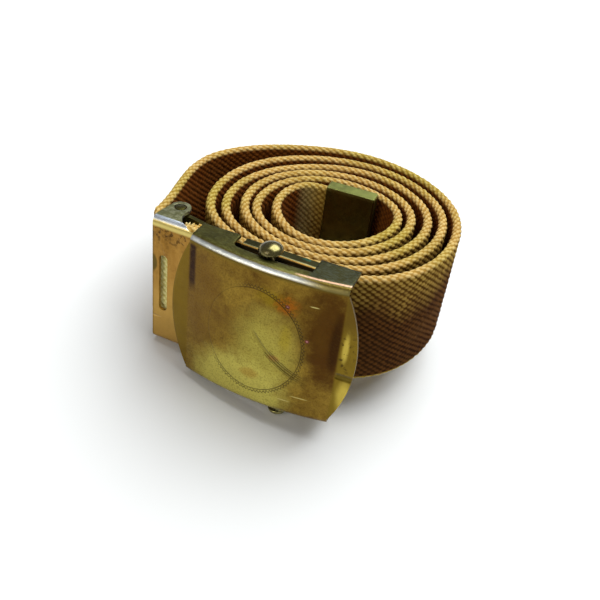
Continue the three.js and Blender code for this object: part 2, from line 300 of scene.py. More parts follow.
def weave_height(along, around):
    """From 0 in a pit to 1 on a grain: the highest of the grains of the three nearest yarns.
    Each grain is the root of one minus the squares of its scaled distances."""
    best = np.zeros(np.broadcast(along, around).shape)
    nearest = np.floor(around / YARN)
    for neighbour in (-1, 0, 1):
        yarn = (nearest + neighbour) % YARNS
        across = around - (nearest + neighbour + 0.5) * YARN
        phase = along / PICK - (yarn % 2)
        count = np.round(phase / 2)
        step = (phase - 2 * count) * PICK
        row = yarn.astype(int)
        column = np.mod(count, CHANCE_COLUMNS).astype(int)
        chance = UNEVEN[row, column]
        step = step + SHIFTED * chance[..., 0] + GRAIN["slant"] * across
        long = step / (GRAIN["half_length"] * (1 + STRETCHED * chance[..., 1]))
        wide = across / GRAIN["half_width"]
        size = 1 + SWOLLEN * chance[..., 2]
        best = np.maximum(best, size * np.sqrt(np.clip(1 - long ** 2 - wide ** 2, 0, None)))
    return best


print("round the strap, mm:", round(AROUND, 1), "and a yarn:", round(YARN, 2))

# %% [markdown]
# The strap's section is a flat strip with half round edges. A point of the skin is found in three
# steps: the route gives its place from above, the section carries it outwards and up, and the
# weave lifts it along the surface's own normal.

# %% The strap's skin
def strip_section(around):
    """Round the strip: up the outer face, over the top, down the inner face, under the bottom.
    Gives the offset outwards, the height, and the same two for the surface's normal."""
    radius = WEB_THICKNESS / 2
    top = (around - FLAT) / radius
    bottom = (around - 2 * FLAT - ROUND) / radius + math.pi
    sides = [around < FLAT, around < FLAT + ROUND, around < 2 * FLAT + ROUND]
    angle = np.select(sides, [0 * around, top, 0 * around + math.pi], bottom)
    centre = np.select(
        sides,
        [around - FLAT / 2, 0 * around + FLAT / 2, FLAT * 1.5 + ROUND - around],
        0 * around - FLAT / 2,
    )
    normal_out, normal_up = np.cos(angle), np.sin(angle)
    return radius * normal_out, centre + radius * normal_up, normal_out, normal_up


EDGE_WAVE = 0.08              # how far the strap's edges wander up and down
FACE_LEVEL = 0.88             # the grain height that lies on the section's own line
RIM_SPREAD = 1.6


def strap_surface(along, around):
    """The strap's skin: the route, carried out and up by the section, and by the weave's relief.
    Two slow waves along the strap move its edges up and down."""
    out, up, normal_out, normal_up = strip_section(around)
    x, y = (np.interp(along, WALKED, ROUTE[:, k]) for k in (0, 1))
    hx, hy = (np.interp(along, WALKED, HEADING[:, k]) for k in (0, 1))
    height = weave_height(along[:, None], around[None, :])
    relief = GRAIN["height"] * (height - FACE_LEVEL)
    out = out[None, :] + normal_out[None, :] * relief
    wave = EDGE_WAVE * (np.sin(along / 17.3) + 0.6 * np.sin(along / 6.1 + 1.3))
    up = up[None, :] + normal_up[None, :] * relief + wave[:, None] * np.sign(up)[None, :]
    middle = WEB_TOP - WEB_WIDTH / 2
    px = x[:, None] + hy[:, None] * out
    py = y[:, None] - hx[:, None] * out
    rim = np.broadcast_to(np.clip(np.abs(normal_up) * RIM_SPREAD, 0, 1), height.shape)
    inner_face = np.broadcast_to(normal_out < -0.5, height.shape)
    return np.stack((px, py, up + middle), axis=-1), height, rim, inner_face


# %% [markdown]
# The strap is too fine for one mesh, so it is made in seven runs that meet end to end. A run has
# close points only where its yarns can be seen: on both edges, and on the faces that no other
# turn covers.

# %% Strap
FINE_ALONG = 0.265
FINE_AROUND = 0.2
LOW_AROUND = 0.32             # on the lower edge, which is seldom seen
PLAIN_AROUND = 2.6
EDGE_REACH = 2.6              # how far down each face the close points of an edge go
RUNS = [
    {"name": "strap_tip_run", "start": 0, "end": 92, "outer": False, "inner": True},
    {"name": "strap_turn_two", "start": 92, "end": 300, "outer": False, "inner": False},
    {"name": "strap_turn_three", "start": 300, "end": 505, "outer": False, "inner": False},
    {"name": "strap_turn_four", "start": 505, "end": 590, "outer": True, "inner": False},
    {"name": "strap_turn_five", "start": 590, "end": 675, "outer": True, "inner": False},
    {"name": "strap_loose_turn", "start": 675, "end": 732, "outer": True, "inner": True},
    {"name": "strap_clamp_run", "start": 732, "end": None, "outer": True, "inner": True},
]


def close_steps(start, end, step):
    """Even steps from start up to, but not at, end."""
    count = math.ceil((end - start) / step)
    return start + (end - start) * np.arange(count) / count


def around_points(outer_fine, inner_fine):
    """Points round the section, close at the edges, and close on a face only where asked."""
    outer = FINE_AROUND if outer_fine else PLAIN_AROUND
    inner = FINE_AROUND if inner_fine else PLAIN_AROUND
    second = FLAT + ROUND
    return np.concatenate((
        close_steps(0, EDGE_REACH / 2, LOW_AROUND),
        close_steps(EDGE_REACH / 2, FLAT - EDGE_REACH, outer),
        close_steps(FLAT - EDGE_REACH, second + EDGE_REACH, FINE_AROUND),
        close_steps(second + EDGE_REACH, second + FLAT - EDGE_REACH / 2, inner),
        close_steps(second + FLAT - EDGE_REACH / 2, AROUND, LOW_AROUND),
    ))


def make_strap_run(name, start, end, outer, inner):
    """One run of the strap as a closed tube of its section, with a flat end at each end."""
    end = WEB_LENGTH if end is None else end
    along = np.linspace(start, end, int((end - start) / FINE_ALONG) + 1)
    around = around_points(outer, inner)
    points, height, rim, inner_face = strap_surface(along, around)
    rows, columns = len(along), len(around)
    quads = grid_quads(rows, columns, closed_columns=True).tolist()
    first = list(range(columns))[::-1]
    last = list(range((rows - 1) * columns, rows * columns))
    uv = np.stack(np.meshgrid(along, around, indexing="ij"), axis=-1).reshape(-1, 2) * MM
    inner_face = inner_face.ravel().astype(float)
    numbers = {"grain": height.ravel(), "rim": rim.ravel(), "inner": inner_face}
    return new_piece(
        name, points.reshape(-1, 3), quads + [first, last], BELT,
        flat_faces=2, uv=uv, numbers=numbers,
    )


strap = [make_strap_run(**run) for run in RUNS]
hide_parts("webbing")
for piece in strap:
    print(piece.name, len(piece.data.polygons) * 2, "triangles")

# %% [markdown]
# ## The frayed end
# The strap's other end was cut, and its yarns have come loose. They show through the notch in the
# clamp as a small pale tuft. Each yarn is a thin tube along a bent line: it starts inside the
# strap's edge and leans over the jaw by a chance amount. It gets thinner towards its tip.

# %% Frayed end
FRAY = {"yarns": 90, "rings": 7, "sides": 6, "radius": 0.27}
FRAY_FROM = np.array((-24.9, 5.6, 14.6))
FRAY_TO = np.array((-19.4, 8.0, 15.6))
FRAY_SEED = 5


def frayed_yarns():
    """Middle lines of the loose yarns: a start, then a lean back and a rise that slows down."""
    chance = np.random.default_rng(FRAY_SEED)
    count = FRAY["yarns"]
    start = FRAY_FROM + chance.random((count, 3)) * (FRAY_TO - FRAY_FROM)
    aside = chance.normal(0.3, 0.5, count)
    back = chance.uniform(0.2, 2.0, count)
    rise = chance.uniform(0.4, 1.6, count)
    lean = np.stack((aside, back, rise), axis=1)
    curl = chance.normal(0, 0.22, (count, 3))
    t = np.linspace(0, 1, FRAY["rings"])
    growth = np.stack((t, t ** 1.5, np.sin(t * math.pi / 2)), axis=-1)
    swing = np.sin(t * math.pi * 1.5)[:, None]
    return start[:, None] + lean[:, None] * growth + curl[:, None] * swing


def make_frayed_end():
    """A tapering tube round each line, closed at both ends by a flat cap."""
    rings, sides = FRAY["rings"], FRAY["sides"]
    lines = frayed_yarns()
    ahead = np.gradient(lines, axis=1)
    ahead /= np.linalg.norm(ahead, axis=-1, keepdims=True)
    side = np.cross(ahead, (0.0, 0.0, 1.0))
    side /= np.linalg.norm(side, axis=-1, keepdims=True)
    above = np.cross(side, ahead)
    turn = (np.arange(sides) * 2 * math.pi / sides)[:, None]
    taper = FRAY["radius"] * (1 - 0.6 * np.linspace(0, 1, rings) ** 3)[:, None, None]
    ring = np.cos(turn) * side[:, :, None] + np.sin(turn) * above[:, :, None]
    points = lines[:, :, None] + taper * ring
    each = (np.arange(FRAY["yarns"]) * rings * sides)[:, None]
    one = grid_quads(rings, sides, closed_columns=True)[:, ::-1]
    quads = (one[None] + each[:, None]).reshape(-1, 4).tolist()
    first = (np.arange(sides) + each).tolist()
    last = (np.arange(sides)[::-1] + (rings - 1) * sides + each).tolist()
    return new_piece(
        "frayed_end", points.reshape(-1, 3) + BUCKLE, quads + first + last, BELT,
        flat_faces=len(first + last),
    )


frayed_end = make_frayed_end()
print("loose yarns:", FRAY["yarns"], "with", len(frayed_end.data.polygons), "faces")

# %% [markdown]
# ## Materials from a few nodes
# Every finish here is made of nodes: noise for stains, a few formulas for lines and spots, and
# numbers that the mesh carries. This small class adds a node for each call and gives back its
# socket. Its lay method keeps the colour so far and puts the next tone over it, so the cells
# below read as a list of what lies over what.

# %% Node helper
MARK_DEPTH = 0.00006          # metres that a mark of depth 1 is pressed in


class Finish:
    """One material. Each method adds a node and gives back its output socket."""

    def __init__(self, name):
        self.material = bpy.data.materials.new(name)
        self.material.use_nodes = True
        self.tree = self.material.node_tree
        self.shader = self.tree.nodes["Principled BSDF"]
        self.colour = None
        self.roughness = None
        self.normal = None

    def put(self, socket, value):
        """Links another node's socket, or sets a plain number or colour."""
        if isinstance(value, bpy.types.NodeSocket):
            self.tree.links.new(value, socket)
        else:
            socket.default_value = value

    def node(self, kind, inputs, **settings):
        """A new node with these settings, and its inputs filled by name or number."""
        node = self.tree.nodes.new("ShaderNode" + kind)
        for key, value in settings.items():
            setattr(node, key, value)
        for key, value in inputs.items():
            self.put(node.inputs[key], value)
        return node

    def place(self, kind="Object"):
        """Object coordinates in metres, or UV for the piece's own map."""
        return self.node("TexCoord", {}).outputs[kind]

    def mapped(self, where, scale, turn):
        """The coordinates stretched, and turned about Z."""
        inputs = {"Vector": where, "Scale": scale, "Rotation": (0, 0, turn)}
        return self.node("Mapping", inputs).outputs["Vector"]

    def split(self, where):
        """The three coordinates of a place."""
        return tuple(self.node("SeparateXYZ", {0: where}).outputs)

    def number(self, name):
        """A number that the mesh carries at each point."""
        return self.node("Attribute", {}, attribute_name=name).outputs["Fac"]

    def noise(self, where, scale, detail=3.0, rough=0.55, warp=0.0):
        """Cloudy noise from 0 to 1."""
        inputs = {"Vector": where, "Scale": scale, "Detail": detail}
        inputs.update({"Roughness": rough, "Distortion": warp})
        return self.node("TexNoise", inputs).outputs["Fac"]

    def calculate(self, operation, a, b=0.0):
        """One Math node."""
        return self.node("Math", {0: a, 1: b}, operation=operation).outputs[0]

    def plus(self, a, b):
        """a plus b."""
        return self.calculate("ADD", a, b)

    def minus(self, a, b):
        """a minus b."""
        return self.calculate("SUBTRACT", a, b)

    def times(self, a, b):
        """a times b."""
        return self.calculate("MULTIPLY", a, b)

    def larger(self, a, b):
        """The larger of a and b."""
        return self.calculate("MAXIMUM", a, b)

    def away(self, a, b):
        """How far a is from b, whichever is larger."""
        return self.calculate("ABSOLUTE", self.minus(a, b))

    def length(self, dx, dy):
        """The root of dx squared plus dy squared."""
        return self.calculate("SQRT", self.plus(self.times(dx, dx), self.times(dy, dy)))

    def scaled(self, x, y, centre, radii):
        """The way from centre to x, y, with each part divided by its own radius."""
        dx = self.calculate("DIVIDE", self.minus(x, centre[0]), radii[0])
        dy = self.calculate("DIVIDE", self.minus(y, centre[1]), radii[1])
        return dx, dy

    def spot(self, x, y, centre, radii):
        """1 at the centre of an ellipse, 0 at its edge: one minus the scaled distance."""
        return self.minus(1.0, self.length(*self.scaled(x, y, centre, radii)))

    def ease(self, value, low, high, start=0.0, end=1.0):
        """From start to end while value goes from low to high, with soft shoulders."""
        inputs = {"Value": value, "From Min": low, "From Max": high, "To Min": start, "To Max": end}
        return self.node("MapRange", inputs, interpolation_type="SMOOTHSTEP").outputs["Result"]

    def mix(self, amount, under, over):
        """The colour over laid on the colour under, by amount."""
        return self.node("Mix", {0: amount, 6: under, 7: over}, data_type="RGBA").outputs[2]

    def lay(self, over, *shares):
        """Lays the colour over on the finish so far, by the product of the shares."""
        amount = shares[0]
        for share in shares[1:]:
            amount = self.times(amount, share)
        self.colour = self.mix(amount, self.colour, over)

    def relief(self, height, distance, strength, under=None):
        """Bump from a height that counts in units of distance metres."""
        inputs = {"Strength": strength, "Distance": distance, "Height": height}
        if under is not None:
            inputs["Normal"] = under
        return self.node("Bump", inputs).outputs["Normal"]

    def press_in(self, depth):
        """Lowers the surface by depth times MARK_DEPTH."""
        self.normal = self.relief(self.minus(0.0, depth), MARK_DEPTH, 1.0, self.normal)

    def done(self):
        """Plugs what was made into the shader, and gives the material."""
        made = {"Base Color": self.colour, "Roughness": self.roughness, "Normal": self.normal}
        for name, value in made.items():
            if value is not None:
                self.put(self.shader.inputs[name], value)
        return self.material


def tone(red, green, blue):
    """A colour given as on a screen, 0 to 255, turned into linear light."""
    parts = [c / 255 for c in (red, green, blue)]
    linear = [c / 12.92 if c <= 0.04045 else ((c + 0.055) / 1.055) ** 2.4 for c in parts]
    return (*linear, 1.0)


def put_on(material, *pieces):
    """Gives each piece this one material."""
    for piece in pieces:
        piece.data.materials.clear()
        piece.data.materials.append(material)
    print(material.name, "has", len(material.node_tree.nodes), "nodes")


# %% [markdown]
# ## Cotton
# The strap is khaki cotton that has faded on its edges and browned on its faces. The mesh already
# says where an edge is and how high each grain stands, so the pits between the grains are painted
# darker and warmer than their tops, as painted shade. So each part of the strap has two tones, one
# for the tops and one for the painted shade in the pits. Broad clouds of noise change the tone from
# turn to turn.

# %% Cotton web
COTTON = {                     # tops of the grains, painted shade in the pits between them
    "edge": (tone(222, 190, 122), tone(182, 140, 66)),
    "greener_edge": (tone(204, 182, 98), tone(160, 132, 48)),
    "face": (tone(104, 66, 28), tone(60, 33, 12)),
    "darker_face": (tone(90, 55, 22), tone(52, 28, 10)),
    # painted light: a lit band under the upper edge of the outer face
    "painted_light_band": (tone(184, 150, 70), tone(96, 66, 16)),
    "inner_face": (tone(122, 68, 20), tone(92, 46, 12)),
    # painted light: the strap behind the window, made pale as if lit
    "window_painted_light": (tone(255, 250, 178), tone(228, 220, 136)),
    "by_tip": (tone(196, 164, 76), tone(140, 108, 36)),
}
LIGHT_BAND_FROM, LIGHT_BAND_TO = 0.016, 0.028         # height up the outer face over which the painted light band comes in, metres
TIP_PALE_TO, TIP_PALE_FROM = 0.013, 0.022
WINDOW_ALONG = (WEB_LENGTH - 14.0) * MM     # the part of the strap that shows in the window, where painted light lies


def mix_both(web, amount, under, over):
    """The tops' and the pits' colours of over, each laid on that of under."""
    return tuple(web.mix(amount, below, above) for below, above in zip(under, over))


def cotton_web():
    """Tan edges over brown faces, painted shade in the pits, a band of painted light under the
    upper edge of the outer face, painted light on the part in the window, a pale part by the tip,
    and broad stains."""
    web = Finish("cotton_web")
    place = web.place()
    yarn = web.place("UV")
    along, around, _ = web.split(yarn)
    grain, rim, inner = (web.number(name) for name in ("grain", "rim", "inner"))
    stain = web.ease(web.noise(place, 34, 2), 0.38, 0.62)
    # painted light band under the upper edge of the outer face, with an uneven lower edge
    uneven = web.times(web.minus(web.noise(place, 60, 3), 0.5), 0.02)
    painted_light_band = web.ease(web.plus(around, uneven), LIGHT_BAND_FROM, LIGHT_BAND_TO)
    painted_light_band = web.times(painted_light_band, web.minus(1.0, inner))
    # painted light on the strap behind the clamp's window
    window_painted_light = web.ease(web.away(along, WINDOW_ALONG), 0.0016, 0.0024, 1, 0)
    # a paler tone on the inner face near the tip
    by_tip = web.times(web.ease(along, TIP_PALE_FROM, TIP_PALE_TO), inner)
    edge = mix_both(web, stain, COTTON["edge"], COTTON["greener_edge"])
    face = mix_both(web, stain, COTTON["face"], COTTON["darker_face"])
    face = mix_both(web, painted_light_band, face, COTTON["painted_light_band"])
    face = mix_both(web, inner, face, COTTON["inner_face"])
    pale = mix_both(web, by_tip, COTTON["window_painted_light"], COTTON["by_tip"])
    face = mix_both(web, web.larger(window_painted_light, by_tip), face, pale)
    top, shaded_pit = mix_both(web, rim, face, edge)
    # painted shade: the pits between the grains are darker than their tops
    web.colour = web.mix(web.ease(grain, 0.3, 1.0), shaded_pit, top)
    web.lay(tone(120, 84, 40), web.ease(web.noise(place, 150, 3), 0.35, 0.7), 0.16)
    web.roughness = 0.92
    web.shader.inputs["Specular IOR Level"].default_value = 0.05
    ply = web.noise(web.mapped(yarn, (900, 3200, 1), turn=0.5), 1.0, 3, 0.6)
    fuzz = web.noise(place, 2600, 2)
    web.normal = web.relief(web.plus(ply, web.times(fuzz, 0.5)), 0.00012, 0.8)
    return web.done()


def loose_cotton():
    """The frayed yarns: pale straw with yellow depths."""
    web = Finish("loose_cotton")
    shade = web.ease(web.noise(web.place(), 900, 2), 0.4, 0.6)
    web.colour = web.mix(shade, tone(244, 220, 150), tone(214, 168, 62))
    web.roughness = 0.9
    return web.done()


put_on(cotton_web(), *strap)
put_on(loose_cotton(), frayed_end)

# %% [markdown]
# ## Old brass
# The buckle is brass that has been handled for years. Bare metal shows on the worn edges, and a
# brown or olive skin lies in the hollows. The recipe is the same for every piece: two metal tones
# in clouds, a dark skin in patches, fine rubbing marks, and a roughness that follows the skin.

# %% Old brass
def old_brass(name, bright, dull, skin, skin_share=0.5, rough=0.34, soft=0.16):
    """Two metal tones in clouds under a dark skin that covers about skin_share of the piece.
    The skin lies where the sum of a coarse and a fine noise is high, and is duller there."""
    brass = Finish(name)
    place = brass.place()
    clouds = brass.ease(brass.noise(place, 95, 4, 0.6, warp=0.6), 0.34, 0.66)
    speckle = brass.noise(place, 1500, 3, 0.7)
    mottle = brass.plus(brass.noise(place, 210, 6, 0.68), brass.times(speckle, 0.3))
    low = 0.86 - 0.42 * skin_share
    tarnish = brass.ease(mottle, low - soft / 2, low + soft)
    rubbed = brass.noise(brass.mapped(place, (2600, 240, 420), turn=0.6), 1.0, 2)
    rubbed_across = brass.noise(brass.mapped(place, (300, 1900, 500), turn=-0.35), 1.0, 2)
    marks = brass.plus(brass.times(rubbed, 0.5), brass.times(rubbed_across, 0.5))
    brass.colour = brass.mix(clouds, bright, dull)
    brass.lay(skin, tarnish)
    brass.lay(skin, brass.ease(marks, 0.5, 0.72, 0, 0.3))
    brass.lay(bright, brass.ease(brass.noise(place, 2300, 2), 0.5, 0.74, 0, 0.3))
    worn = brass.ease(marks, 0.3, 0.7, rough - 0.05, rough + 0.07)
    brass.roughness = brass.plus(brass.times(tarnish, 0.14), worn)
    dents = brass.relief(brass.noise(place, 130, 2), 0.0006, 0.4)
    grit = brass.plus(marks, brass.times(speckle, 0.6))
    brass.normal = brass.relief(grit, 0.00002, 0.6, dents)
    brass.shader.inputs["Metallic"].default_value = 1.0
    return brass


# %% [markdown]
# ## The buckle's face
# The face is one sheet of brass, bowed forward in its middle, with its top and bottom edges
# rolled back into flanges and a flared wing at each side. A folded sheet is a grid: one direction
# runs across the face, the other follows the fold from flange to flange. First come the two
# lists of places, one for each direction of the grid.

# %% Face plate: its rows and columns
FACE = {"half_width": 18.7, "half_height": 19.2, "bow": 2.3, "corner": 1.2}
FLANGE = {"back": 5.9, "slant": 0.037}
WING = {"reach": 4.4, "half_height": 18.5, "lean": math.radians(4), "columns": 9}
SLOT = {"left": -9.5, "right": 9.6, "strip": 2.7, "corner": 1.5}
SHEET = 0.8
FACE_CELL = 0.45
CREASE_CELL = 0.4
TINY = 1e-6


def bow_at(x):
    """How far the face stands in front of its creases: a parabola, deepest in the middle."""
    return -FACE["bow"] * (1 - (x / FACE["half_width"]) ** 2)


def fold_rows():
    """The upper half of the fold as three lists: how far behind the bow, what share of the way
    from the strip to the flange's back edge, and the height. The bend is a quarter circle."""
    flat = FACE["half_height"] - FACE["corner"]
    heights = np.linspace(0, flat, int(flat / FACE_CELL) + 1)
    bend = np.linspace(0, math.pi / 2, 9)[1:]
    strip = np.linspace(FACE["corner"], SLOT["strip"], 4)[1:]
    flange = np.linspace(0, 1, 9)[1:]
    round_bend = FACE["corner"] * (1 - np.cos(bend))
    behind = np.concatenate((0 * heights, round_bend, strip, 0 * flange + SLOT["strip"]))
    share = np.concatenate((0 * heights, 0 * bend, 0 * strip, flange))
    on_top = np.full(len(strip) + len(flange), FACE["half_height"])
    height = np.concatenate((heights, flat + FACE["corner"] * np.sin(bend), on_top))
    return behind, share, height


def face_columns():
    """Places across the face, with the slot's ends among them, close by the creases."""
    edge = FACE["half_width"]
    stops = (-edge, -edge + CREASE_CELL, SLOT["left"], SLOT["right"], edge - CREASE_CELL, edge)
    spans = []
    for start, end in zip(stops, stops[1:]):
        spans.append(np.linspace(start, end, max(2, int((end - start) / FACE_CELL) + 1))[:-1])
    return np.concatenate(spans + [np.array((edge,))])


print("face grid:", 2 * len(fold_rows()[0]) - 1, "rows by", len(face_columns()), "columns")

# %% [markdown]
# Now the skin itself. Its depth is the bow plus what the fold adds, and the flange's back edge is
# straight, so the flange is widest in the middle. The slot's left inner corner is round on the
# real buckle, so the points beside it slide onto a quarter circle. A wing is a piece of a large
# circle that leans back a little.

# %% Face plate: its skin
def round_slot_corner(x, depth, share):
    """Moves the slot's left inner corner onto a quarter circle: points on either side of the
    corner slide along the arc by their distance from it."""
    radius = SLOT["corner"]
    strip = bow_at(x) + SLOT["strip"]
    on_side = (np.abs(x - SLOT["left"]) < TINY) & (share > 0)
    from_corner = np.where(on_side, depth - strip, x - SLOT["left"])
    on_strip = (share == 0) & (np.abs(depth - strip) < TINY) & (x >= SLOT["left"] - TINY)
    near = (on_side | on_strip) & (from_corner < radius)
    turn = math.pi / 4 * (1 - from_corner / radius)
    angle = np.where(on_side, turn, math.pi / 2 - turn)
    arc_x = SLOT["left"] + radius * (1 - np.cos(angle))
    arc_y = strip + radius * (1 - np.sin(angle))
    return np.where(near, arc_x, x), np.where(near, arc_y, depth)


def wing_points(height):
    """The right wing's x, y and z: at each height it reaches out to a circle's arc."""
    steps = np.linspace(0, 1, WING["columns"])[1:]
    radius = (WING["half_height"] ** 2 + WING["reach"] ** 2) / (2 * WING["reach"])
    inside = np.minimum(np.abs(height), WING["half_height"])
    reach = (np.sqrt(radius ** 2 - inside ** 2) - radius + WING["reach"]) * steps[None, :]
    x = FACE["half_width"] + reach * math.cos(WING["lean"])
    return x, reach * math.sin(WING["lean"]), height + 0 * reach


def face_plate_sheet():
    """The outer skin: x across, and along the fold the bow plus the fold's own shape. Also gives
    the way walked along the fold, which of its rows are flange, and which are flat."""
    behind, share, height = fold_rows()
    behind = np.concatenate((behind[:0:-1], behind))[:, None]
    share = np.concatenate((share[:0:-1], share))[:, None]
    height = np.concatenate((-height[:0:-1], height))[:, None]
    x = face_columns()[None, :]
    to_back = FLANGE["back"] + FLANGE["slant"] * x - bow_at(x) - SLOT["strip"]
    depth = bow_at(x) + behind + share * to_back
    x, depth = round_slot_corner(x + 0 * depth, depth, share)
    wing_x, wing_y, wing_z = wing_points(height)
    grid = np.stack((
        np.concatenate((-wing_x[:, ::-1], x, wing_x), axis=1),
        np.concatenate((wing_y[:, ::-1], depth, wing_y), axis=1),
        np.concatenate((wing_z, height + 0 * depth, wing_z), axis=1),
    ), axis=-1)
    walked = np.abs(height) + share * 4 + behind * 0.5
    fold = np.broadcast_to(np.sign(height) * walked, grid.shape[:2])
    flat = np.abs(height[:, 0]) <= FACE["half_height"] - FACE["corner"] + TINY
    return grid, fold, share[:, 0], flat


# %% [markdown]
# Cells that fall in the bar's slot or beside the wings are left out. Solidify then gives the sheet
# its 0.8 mm, and Bevel takes the sharpness off its edges. The map counts millimetres across and
# up the fold, so that marks can be put in place.

# %% Face plate: the sheet
def sheet_faces(grid, share, flat):
    """Which cells of the fold are metal: not those in the slot, and beside the creases only
    those of the flat rows."""
    columns = grid.shape[1]
    wing = WING["columns"] - 1
    middle = face_columns()
    in_slot = (middle[:-1] >= SLOT["left"] - TINY) & (middle[1:] <= SLOT["right"] + TINY)
    open_cell = np.zeros(columns - 1, bool)
    open_cell[wing:wing + len(in_slot)] = in_slot
    beside = np.ones(columns - 1, bool)
    beside[wing:columns - 1 - wing] = False
    in_flange = (share[:-1] > 0) | (share[1:] > 0)
    in_flat = flat[:-1] & flat[1:]
    metal = ~(in_flange[:, None] & open_cell[None, :]) & (in_flat[:, None] | ~beside[None, :])
    return metal.ravel()


def used_only(points, faces, other):
    """Leaves out the points that no face uses."""
    kept, place = np.unique(faces, return_inverse=True)
    return points[kept], place.reshape(faces.shape), other[kept]


def finish_edges(piece, thickness=None, bevel=0.12):
    """Sheet thickness inwards, a small round on every edge, and even shading on the flats."""
    if thickness:
        solidify = piece.modifiers.new("sheet", "SOLIDIFY")
        solidify.thickness = thickness * MM
        solidify.offset = -1
        solidify.use_even_offset = True
    rounding = piece.modifiers.new("edges", "BEVEL")
    rounding.width = bevel * MM
    rounding.segments = 2
    rounding.limit_method = "ANGLE"
    rounding.angle_limit = math.radians(40)
    piece.modifiers.new("shading", "WEIGHTED_NORMAL")


def make_face_plate():
    """The face's grid as one sheet, with a map that counts millimetres across and up the fold."""
    grid, fold, share, flat = face_plate_sheet()
    quads = grid_quads(*grid.shape[:2])[sheet_faces(grid, share, flat)]
    points = grid.reshape(-1, 3)
    uv = np.stack((points[:, 0], fold.ravel()), axis=1)
    points, quads, uv = used_only(points, quads, uv)
    piece = new_piece("buckle_face", points + BUCKLE, quads[:, ::-1], BELT, uv=uv)
    finish_edges(piece, thickness=SHEET)
    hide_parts("face_plate")
    return piece


buckle_face = make_face_plate()
print("face:", len(buckle_face.data.polygons), "cells before its thickness")

# %% [markdown]
# ## The face's tones
# The middle of the face is painted bright, and brighter still low down, as painted reflections, and
# its right third is painted dark brown as a reflection of the darker surroundings on that side,
# with a painted shadow along the right crease. Years of handling have left an orange stain and two
# small dark spots. Each is an ellipse on the face's own map. Noise is added to the distance from
# its centre, so that its edge crumbles as a real stain's does.

# %% Patches, stain and spots
PATCH_COLUMNS = ("centre", "radii", "low", "high", "share", "crumble")
PATCHES = (
    (tone(110, 80, 28), ((-15.0, 6), (8.5, 22), 0.0, 0.7, 0.75, 1.0)),       # brown left third
    (tone(172, 160, 72), ((2.5, -2.5), (11.5, 16.5), 0.0, 0.8, 0.85, 0.6)),  # bright middle, a painted reflection
    (tone(198, 186, 90), ((-4, -16), (14, 11), -0.1, 0.45, 0.9, 0.6)),       # brightest, low down: a painted reflection
    (tone(70, 40, 10), ((16.5, 6), (8.0, 21), 0.0, 0.6, 0.9, 1.0)),          # dark right third: a painted reflection of the darker surroundings
    (tone(84, 56, 16), ((11.0, 12.5), (6, 6), 0.1, 0.8, 0.6, 1.0)),          # dark upper corner
    (tone(44, 24, 8), ((17.7, 4.5), (1.8, 12), 0.0, 0.7, 0.7, 0.5)),         # painted shadow along the right crease
    (tone(134, 110, 20), ((3.2, 12.6), (7.0, 3.6), 0.1, 0.8, 0.7, 1.0)),     # green over the ring
    (tone(154, 132, 24), ((6.6, 2.5), (2.6, 8), 0.2, 0.9, 0.5, 1.0)),        # green inside the ring
    (tone(164, 118, 40), ((-1.0, -10.5), (4.0, 2.4), 0.2, 0.8, 0.5, 1.0)),   # low copper stain
    (tone(172, 116, 60), ((4.6, -3.6), (2.4, 1.5), 0.2, 0.8, 0.6, 1.0)),     # copper on the dent
)
ORANGE_STAIN = {"centre": (6.4, 12.2), "radii": (4.2, 4.0), "low": 0.1, "high": 0.7, "share": 0.9}
DARK_SPOTS = ((6.4, 11.8), (11.6, 3.9))
SPOT_RADIUS = 0.6


def ragged_spot(brass, x, y, ragged, centre, radii, low, high, share, crumble=1.0):
    """A spot with a broken edge: noise is added to one minus the scaled distance."""
    broken = brass.times(brass.minus(ragged, 0.5), crumble)
    return brass.ease(brass.plus(brass.spot(x, y, centre, radii), broken), low, high, 0, share)


def lay_patches(brass, x, y, ragged, fine):
    """Each row of the table as a ragged spot, then the stain and the two spots."""
    for shade, row in PATCHES:
        brass.lay(shade, ragged_spot(brass, x, y, ragged, **dict(zip(PATCH_COLUMNS, row))))
    orange = brass.mix(brass.ease(fine, 0.4, 0.6), tone(150, 86, 20), tone(112, 78, 20))
    brass.lay(orange, ragged_spot(brass, x, y, ragged, **ORANGE_STAIN))
    for centre in DARK_SPOTS:
        for radius, high, shade in (
            (SPOT_RADIUS, 0.3, tone(104, 58, 50)),
            (SPOT_RADIUS / 2, 0.5, tone(164, 110, 104)),
        ):
            spot = brass.spot(x, y, centre, (radius, radius))
            brass.lay(shade, brass.ease(spot, 0, high))


print("patches on the face:", len(PATCHES), "and dark spots:", len(DARK_SPOTS))

# %% [markdown]
# The wings differ from the face: the right one carries painted reflections low down and in its
# middle, is pitted in its middle, and is painted dark at its top as shade, with a dent across it.
# The bend to the upper flange is worn bright and carries a painted blue-white highlight, and the
# flange behind it is painted dark as a reflection of the dim room, bluish at the right end. Such a
# band is only a range of the map's height, with soft ends.

# %% Wings, crease and flanges
# painted reflections on the right wing: centre and half sizes
WING_PAINTED_REFLECTIONS = (((21.6, -9.5), (2.4, 6.5)), ((20.2, 4.5), (1.0, 6.0)))
WING_PITS = ((20.8, 3.0), (3.2, 8.0))
WING_DENT = ((21.0, -3.9), (2.6, 3.0))


